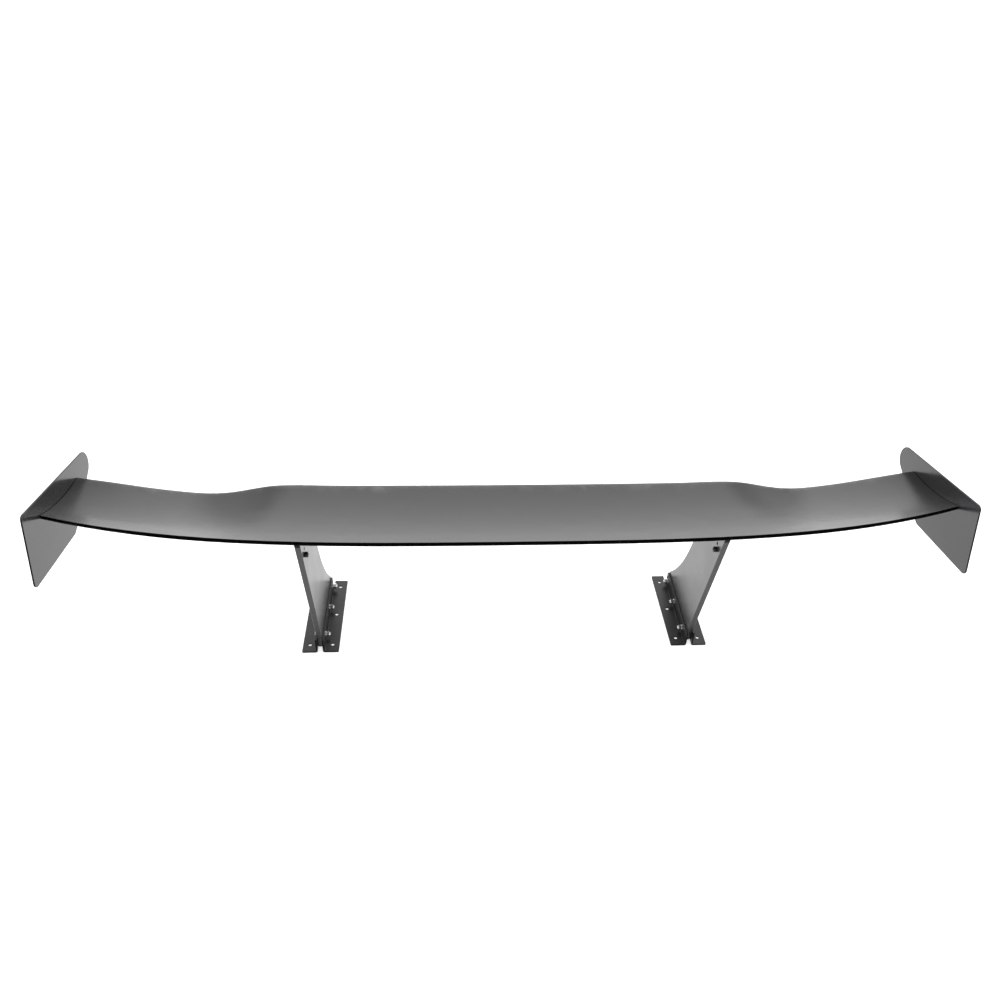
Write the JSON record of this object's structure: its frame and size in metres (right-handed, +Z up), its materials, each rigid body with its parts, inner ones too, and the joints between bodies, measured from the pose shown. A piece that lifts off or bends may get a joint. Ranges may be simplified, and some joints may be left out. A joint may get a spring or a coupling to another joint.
{
  "type": "racing rear wing",
  "caption": "Car rear wing: twisted hollow blade with swept-forward tips, flat endplates, and bolted uprights on angle brackets; the blade's angle adjusts about front pivots.",
  "frame": {"origin": "middle of the wing's outline seen from above, on the plane that the base brackets stand on", "axes": "+X across the car to its right, +Y forwards, +Z up"},
  "size_m": [1.6072, 0.3072, 0.3858],
  "materials": {
    "blade_black": "satin black moulded skin",
    "inner_moulding": "raw black moulding",
    "endplate_black": "satin black powder coat on aluminium sheet",
    "upright_black": "satin black anodised aluminium plate with milled edges",
    "bracket_black": "satin black powder-coated bent angle",
    "zinc_hardware": "bright zinc-plated",
    "black_screws": "black oxide",
    "brass_inserts": "turned brass"
  },
  "bodies": {
    "stand": {"left_upright": "upright_black", "left_pivot_bolt": "zinc_hardware", "left_pivot_nut": "zinc_hardware", "left_lock_screw": "black_screws", "left_inner_base_bracket": "bracket_black", "left_outer_base_bracket": "bracket_black", "left_base_bolts": "zinc_hardware", "left_base_nuts": "zinc_hardware", "left_base_washers": "zinc_hardware", "right_upright": "upright_black", "right_pivot_bolt": "zinc_hardware", "right_pivot_nut": "zinc_hardware", "right_lock_screw": "black_screws", "right_inner_base_bracket": "bracket_black", "right_outer_base_bracket": "bracket_black", "right_base_bolts": "zinc_hardware", "right_base_nuts": "zinc_hardware", "right_base_washers": "zinc_hardware"},
    "wing": {"blade_upper_skin": "blade_black", "blade_lower_skin": "blade_black", "front_spar_web": "inner_moulding", "rear_spar_web": "inner_moulding", "left_endplate": "endplate_black", "left_endplate_screws": "black_screws", "left_endplate_washers": "black_screws", "left_endplate_inserts": "brass_inserts", "left_end_rib": "inner_moulding", "left_mount_block": "inner_moulding", "left_bracket_inserts": "brass_inserts", "left_bracket_screws": "black_screws", "left_wing_bracket": "bracket_black", "right_endplate": "endplate_black", "right_endplate_screws": "black_screws", "right_endplate_washers": "black_screws", "right_endplate_inserts": "brass_inserts", "right_end_rib": "inner_moulding", "right_mount_block": "inner_moulding", "right_bracket_inserts": "brass_inserts", "right_bracket_screws": "black_screws", "right_wing_bracket": "bracket_black"}
  },
  "joints": [
    {"name": "wing_angle", "type": "hinge", "parent": "stand", "child": "wing", "pos_m": [0, -0.034, 0.275], "axis": [-1, 0, 0], "range_deg": [0, 18]}
  ]
}
